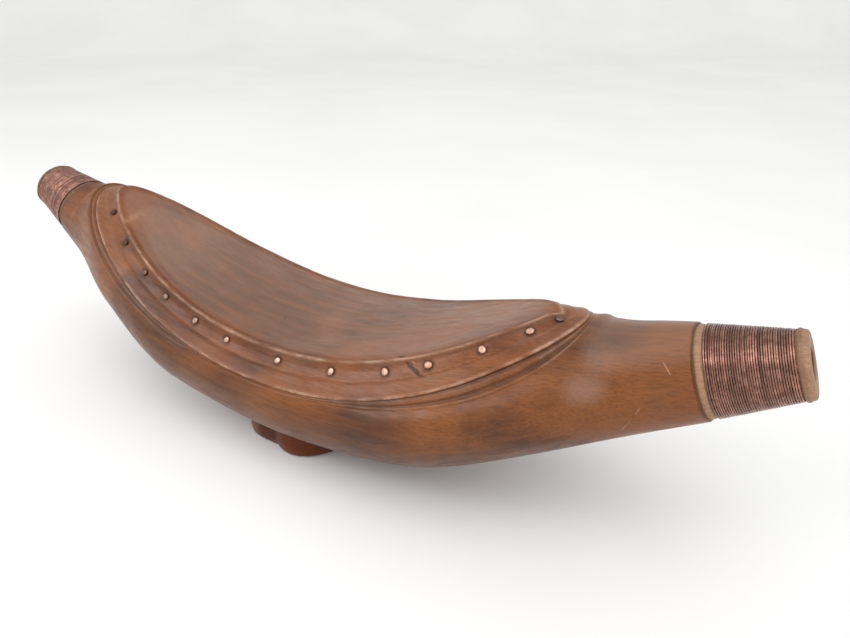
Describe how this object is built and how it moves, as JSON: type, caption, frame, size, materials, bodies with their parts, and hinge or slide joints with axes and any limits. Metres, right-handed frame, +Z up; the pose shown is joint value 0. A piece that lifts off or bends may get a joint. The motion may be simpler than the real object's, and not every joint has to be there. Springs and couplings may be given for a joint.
{
  "type": "curved wooden wind instrument body",
  "caption": "Hollow crescent wind instrument body of dark wood: carved hull, pinned-on cover, copper-wire-lapped tenons with through bores, small foot.",
  "frame": {"origin": "centre of the foot's underside, under the middle of the hull", "axes": "+X along the length towards the right neck, +Y across, away from the viewer of the picture, +Z up"},
  "size_m": [0.4277, 0.1042, 0.1109],
  "materials": {
    "hull_wood": "dark stained, satin, worn",
    "cover_wood": "dark stained, satin, worn",
    "light_wood": "bare, unstained",
    "foot_wood": "red-brown, glossy",
    "pin_metal": "dull copper",
    "copper_wire": "tarnished copper"
  },
  "bodies": {
    "root": {"body": "hull_wood", "cover": "cover_wood", "pins_front": "pin_metal", "pins_back": "pin_metal", "tenon_left": "light_wood", "tenon_right": "light_wood", "wire_lapping_left": "copper_wire", "wire_lapping_right": "copper_wire", "wire_tail": "copper_wire", "foot": "foot_wood", "foot_pegs": "light_wood"}
  },
  "joints": []
}
